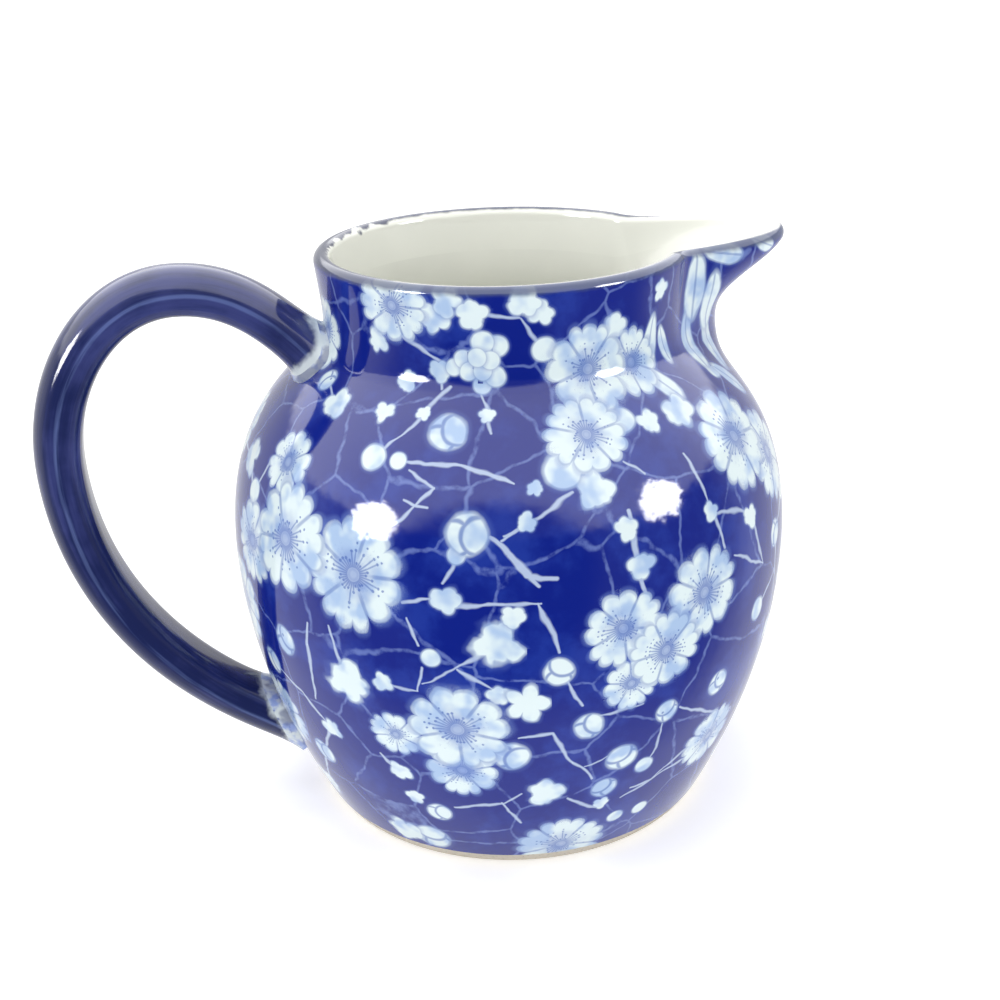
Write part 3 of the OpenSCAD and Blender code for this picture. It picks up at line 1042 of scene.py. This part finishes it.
class CREAMJUG_OT_handle(bpy.types.Operator):
    """Builds the loop handle and the luting slip at its two ends"""

    bl_idname = "cream_jug.handle"
    bl_label = "Handle and slip"

    def execute(self, context):
        shape, colours, _ = settings()
        _, flat, rows = jug_grid(shape)
        outline = flat[len(flat) // 2, :rows["rim"] + 1]
        points, centre, turn = handle_grid(shape)
        away, _ = away_from_body(points, outline)
        flare = SLIP_FLARE * np.exp(-np.maximum(away, 0) / SLIP_FLARE)
        points = points + unit(points - centre) * flare[..., None]
        away, outward = away_from_body(points, outline)
        points = points + outward * np.maximum(-END_DEPTH - away, 0)[..., None]
        away, _ = away_from_body(points, outline)
        step = np.linalg.norm(np.diff(centre, axis=0), axis=-1)
        along = np.concatenate([[0], np.cumsum(step)])
        lie = np.stack([np.repeat(along[None], len(points), 0),
                        np.repeat(turn[:, None], len(along), 1), away], -1)
        whole = np.concatenate([points, -grid_normals(points), lie], -1)
        top, bottom = reaches(away, SLIP_TOP, -1), reaches(away, SLIP_BOTTOM, 1)
        end = np.full(len(points), len(along) - 1.0)
        wash = handle_glaze("handle_wash", colours)
        slip = slip_glaze("slip_glaze", colours)
        for name, start, stop, steps, finish, node, slot in (
            ("handle_loop", top, bottom, 120, wash, "handle", "cobalt_wash"),
            ("upper_slip", 0 * end, top, 18, slip, "upper_joint", "luting_slip"),
            ("lower_slip", bottom, end, 18, slip, "lower_joint", "luting_slip"),
        ):
            part = between(whole, start, stop, steps)
            grid_piece(name, part[..., :3], unit(part[..., 3:6]), 0, steps, finish, [node], slot,
                       True, lie=part[..., 6:])
        return {"FINISHED"}


# Where the two windows stand, as seen from the jug.
LEFT_WINDOW = (-0.88, -0.33, 0.28)
RIGHT_WINDOW = (0.77, -0.55, 0.32)
# What the camera looks at, in millimetres, and how far it is turned about its view.
CAMERA_TARGET = (-1.45, 0.31, 53.9)
CAMERA_ROLL = math.radians(-1.62)
FLOOR_HALF = 4.0


def area_light(name, place, width, height, power):
    """A rectangular light that faces the jug, not seen in the glaze."""
    light = bpy.data.lights.new(name, "AREA")
    light.shape = "RECTANGLE"
    light.size, light.size_y, light.energy = width, height, power
    thing = bpy.data.objects.new(name, light)
    bpy.context.scene.collection.objects.link(thing)
    thing.location = place
    thing.rotation_mode = "QUATERNION"
    thing.rotation_quaternion = (Vector((0, 0, 0.06)) - Vector(place)).to_track_quat("-Z", "Y")
    thing.visible_camera = thing.visible_glossy = False
    return thing


class CREAMJUG_OT_stage(bpy.types.Operator):
    """Builds the plain floor, the soft light and the camera"""

    bl_idname = "cream_jug.stage"
    bl_label = "Floor, light and camera"

    def execute(self, context):
        _, _, stage = settings()
        scene = context.scene
        mesh = bpy.data.meshes.new("floor")
        s = FLOOR_HALF
        mesh.from_pydata([(-s, -s, 0), (s, -s, 0), (s, s, 0), (-s, s, 0)], [], [(0, 1, 2, 3)])
        look = Finish("floor_white")
        mesh.materials.append(look.set(
            Base_Color=look.blend(
                look.noise(30, 2), stage.floor, tuple(0.99 * c for c in stage.floor)
            ),
            Roughness=0.9, Specular_IOR_Level=0.1,
            Emission_Color=stage.floor, Emission_Strength=0.4,
        ))
        floor = bpy.data.objects.new("floor", mesh)
        scene.collection.objects.link(floor)
        floor.visible_glossy = False

        world = bpy.data.worlds.new("studio")
        scene.world = world
        world.use_nodes = True
        tree = world.node_tree
        sky = tree.nodes["Background"]
        direction = Wire.node(tree, "TexCoord", output="Generated")
        ray = {
            kind: Wire.node(tree, "LightPath", output=f"Is {kind} Ray")
            for kind in ("Camera", "Glossy")
        }

        def towards(*way):
            """How nearly a ray goes that way, and noise round 0 to make its edge uneven."""
            dot = Wire.node(tree, "VectorMath", {"operation": "DOT_PRODUCT"}, {
                0: direction, 1: Vector(way).normalized(),
            }, "Value")
            uneven = Wire.node(tree, "TexNoise", sockets={
                "Vector": direction, "Scale": 15.0, "Detail": 3.0, "Roughness": 0.7,
            })
            return dot, uneven - 0.5

        # The glaze shows a bright ceiling, pale walls behind, a dim room before it and two windows.
        _, across, height = (Wire.node(tree, "SeparateXYZ", sockets={0: direction}, output=i)
                             for i in range(3))
        room, uneven = towards(-0.30, -0.94, -0.05)
        behind = (across + uneven * 0.3).rise(-0.30, 0.25)
        table = (-height).rise(0.55, 0.90)
        seen = 0.22 + behind * 0.75 + table * 0.60
        seen = seen.least(1.0) + (height + uneven * 0.16).rise(0.24, 0.33) * 2.1
        seen = seen * (1 - (room + uneven * 0.12).rise(0.70, 0.84) * 0.90)
        for way in LEFT_WINDOW, RIGHT_WINDOW:
            window, uneven = towards(*way)
            seen = seen + (window + uneven * 0.045).rise(0.9840, 0.9885) * stage.windows * 26
        soft = ray["Glossy"] * seen + (1 - ray["Glossy"])
        strength = soft.most(ray["Camera"]) * stage.daylight
        sky.inputs["Color"].default_value = (1, 1, 1, 1)
        tree.links.new(strength.socket, sky.inputs["Strength"])

        area_light("overhead", (-0.3, 0.1, 1.2), 1.0, 1.0, 6)

        camera = bpy.data.cameras.new("camera")
        camera.lens, camera.sensor_width = stage.lens, 36
        camera.clip_start, camera.clip_end = 0.01, 20
        thing = bpy.data.objects.new("camera", camera)
        scene.collection.objects.link(thing)
        a, e = stage.azimuth, stage.elevation
        back = Vector((math.sin(a) * math.cos(e), -math.cos(a) * math.cos(e), math.sin(e)))
        target = Vector(CAMERA_TARGET) * MM
        thing.location = target + back * stage.distance
        thing.rotation_mode = "QUATERNION"
        facing = (-back).to_track_quat("-Z", "Y")
        roll = Matrix.Rotation(CAMERA_ROLL, 3, "Z").to_quaternion()
        thing.rotation_quaternion = facing @ roll
        scene.camera = thing
        scene.view_settings.view_transform = "Standard"
        return {"FINISHED"}


class CREAMJUG_PT_panel(bpy.types.Panel):
    """Lists the jug's pieces, sizes and colours"""

    bl_idname = "CREAMJUG_PT_panel"
    bl_label = "Cream Jug"
    bl_space_type = "VIEW_3D"
    bl_region_type = "UI"
    bl_category = "Cream Jug"

    def draw(self, context):
        for operator in OPERATORS:
            self.layout.operator(operator.bl_idname)
        for group in settings():
            box = self.layout.box()
            for key in group.__annotations__:
                box.prop(group, key)


GROUPS = (JugShape, JugColours, StageSettings)
OPERATORS = (CREAMJUG_OT_body, CREAMJUG_OT_foot, CREAMJUG_OT_handle, CREAMJUG_OT_stage)


def register():
    for item in (*GROUPS, *OPERATORS, CREAMJUG_PT_panel):
        bpy.utils.register_class(item)
    bpy.types.Scene.cream_jug_shape = PointerProperty(type=JugShape)
    bpy.types.Scene.cream_jug_colours = PointerProperty(type=JugColours)
    bpy.types.Scene.cream_jug_stage = PointerProperty(type=StageSettings)


def unregister():
    del bpy.types.Scene.cream_jug_stage
    del bpy.types.Scene.cream_jug_colours
    del bpy.types.Scene.cream_jug_shape
    for item in (CREAMJUG_PT_panel, *reversed(OPERATORS), *reversed(GROUPS)):
        bpy.utils.unregister_class(item)


def main():
    register()
    bpy.ops.cream_jug.body()
    bpy.ops.cream_jug.foot()
    bpy.ops.cream_jug.handle()
    bpy.ops.cream_jug.stage()


if __name__ == "__main__":
    main()
